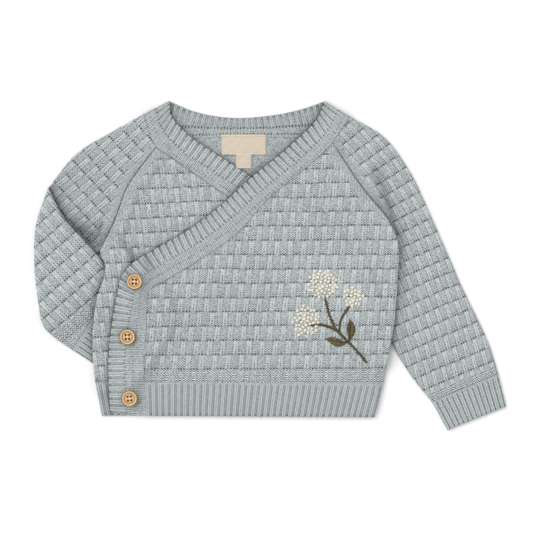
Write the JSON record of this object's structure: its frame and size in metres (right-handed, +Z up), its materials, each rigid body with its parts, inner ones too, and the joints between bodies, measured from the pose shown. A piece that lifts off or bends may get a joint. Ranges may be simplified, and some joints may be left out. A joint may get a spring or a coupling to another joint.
{
  "type": "baby wrap cardigan laid flat",
  "caption": "Baby's knitted wrap cardigan with raglan sleeves, rib bands and side buttons, laid flat with one sleeve folded back.",
  "frame": {"origin": "centre of the laid-out garment's plan, on the surface that it lies on", "axes": "+X toward the wearer's left sleeve, along the garment's width; +Y toward the neck; +Z up from the surface"},
  "size_m": [0.4386, 0.3064, 0.0186],
  "materials": {
    "knit": "matte cotton knit",
    "label": "woven tape",
    "button": "satin"
  },
  "bodies": {
    "root": {"back": "knit", "back_hem": "knit", "back_neckband": "knit", "left_front": "knit", "left_front_hem": "knit", "left_front_band": "knit", "right_front": "knit", "right_front_hem": "knit", "right_front_band": "knit", "left_sleeve": "knit", "left_cuff": "knit", "right_sleeve": "knit", "right_cuff": "knit", "neck_label": "label", "size_tab": "label", "button_1": "button", "button_2": "button", "button_3": "button"}
  },
  "joints": []
}
